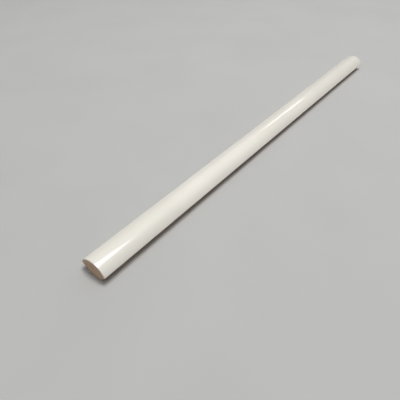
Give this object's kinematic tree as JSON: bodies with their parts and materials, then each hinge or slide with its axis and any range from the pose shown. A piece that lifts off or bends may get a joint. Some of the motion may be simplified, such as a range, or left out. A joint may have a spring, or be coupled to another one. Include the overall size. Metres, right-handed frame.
{
  "type": "ceramic pencil liner tile",
  "caption": "Narrow glazed ceramic trim bar with a rounded crown, undercut flanks and a flat back.",
  "frame": {"origin": "middle of the liner's length and width, in the plane of its flat back", "axes": "+X along the liner's length, +Y across its width, +Z out of the glazed crown, square to the back"},
  "size_m": [0.305, 0.0158, 0.01],
  "materials": {
    "glazed_body": "gloss warm white glaze over a matt brown-buff fired clay body"
  },
  "bodies": {
    "root": {"pencil_liner": "glazed_body"}
  },
  "joints": []
}
